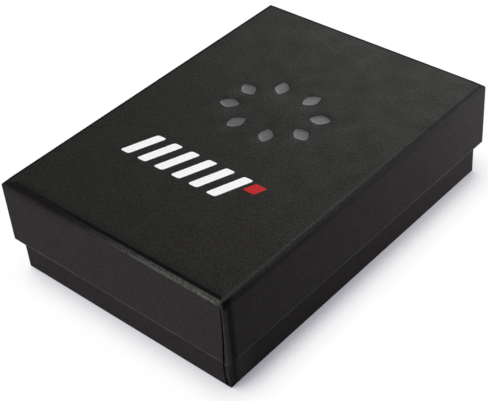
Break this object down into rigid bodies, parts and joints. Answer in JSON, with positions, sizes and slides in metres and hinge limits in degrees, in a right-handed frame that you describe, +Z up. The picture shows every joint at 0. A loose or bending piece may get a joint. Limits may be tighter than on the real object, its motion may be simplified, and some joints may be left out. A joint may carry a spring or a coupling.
{
  "type": "lighter in gift box",
  "caption": "Closed two-piece rigid gift box wrapped in black grain paper, with a lift-off lid, card insert, leaflet and a flip-top petrol lighter inside.",
  "frame": {"origin": "centre of the base's underside, on the surface that the closed box stands on", "axes": "+Z up, +Y along the box's long side, towards the top end of the lighter, +X along its short side"},
  "size_m": [0.063, 0.0886, 0.0238],
  "materials": {
    "grey_board": "uncoated grey board",
    "black_grain_paper": "black paper embossed with a fine leather grain, satin",
    "black_liner_paper": "plain matt black paper",
    "black_card": "black card, matt",
    "foam": "soft grey foam",
    "leaflet_paper": "thin uncoated white paper",
    "brushed_case": "brushed along its height",
    "hinge_steel": "plain sheet",
    "inner_steel": "drawn sheet, satin",
    "cam_steel": "stamped",
    "rivet_steel": "turned",
    "spring_steel": "spring steel",
    "wheel_steel": "hardened, dark, cut teeth",
    "brass": "plain turned brass",
    "flint_metal": "dull grey",
    "wick_cotton": "woven cotton",
    "packing_rayon": "loose white wadding",
    "felt": "pressed felt"
  },
  "bodies": {
    "base": {"base_floor_board": "grey_board", "base_wall_boards": "grey_board", "base_wrap": "black_grain_paper", "base_sole": "black_grain_paper", "base_liner": "black_liner_paper"},
    "leaflet": {"leaflet": "leaflet_paper"},
    "insert": {"platform_card": "black_card", "cradle_card": "black_card", "foam_pad": "foam"},
    "lighter": {"case_bottom": "brushed_case", "case_lid": "brushed_case", "hinge_plate_lower": "hinge_steel", "hinge_plate_upper": "hinge_steel", "hinge_pin": "rivet_steel", "inner_case": "inner_steel", "chimney_plate": "inner_steel", "cam_rivet": "rivet_steel", "cam_spring": "spring_steel", "wheel_rivet": "rivet_steel", "flint_tube": "brass", "flint": "flint_metal", "flint_plunger": "brass", "flint_spring": "spring_steel", "flint_screw": "brass", "wick": "wick_cotton", "packing": "packing_rayon", "felt_pad": "felt"},
    "striker": {"flint_wheel": "wheel_steel"},
    "cam": {"cam": "cam_steel"},
    "lid": {"lid_top_board": "grey_board", "lid_wall_boards": "grey_board", "lid_wrap": "black_grain_paper", "lid_liner": "black_liner_paper"}
  },
  "joints": [
    {"name": "leaflet_lift", "type": "slide", "parent": "base", "child": "leaflet", "axis": [0, 0, 1], "range_m": [0, 0.03]},
    {"name": "insert_lift", "type": "slide", "parent": "leaflet", "child": "insert", "axis": [0, 0, 1], "range_m": [0, 0.045]},
    {"name": "lighter_lift", "type": "slide", "parent": "insert", "child": "lighter", "axis": [0, 0, 1], "range_m": [0, 0.04]},
    {"name": "lid_lift", "type": "slide", "parent": "lighter", "child": "lid", "axis": [0, 0, 1], "range_m": [0, 0.06]},
    {"name": "striker_spin", "type": "hinge", "parent": "lighter", "child": "striker", "pos_m": [0.0132, 0.0133, 0.0151], "axis": [0, 0, 1], "continuous": true},
    {"name": "cam_swing", "type": "hinge", "parent": "lighter", "child": "cam", "pos_m": [-0.0128, 0.0105, 0.0151], "axis": [0, 0, -1], "range_deg": [0, 25]}
  ]
}
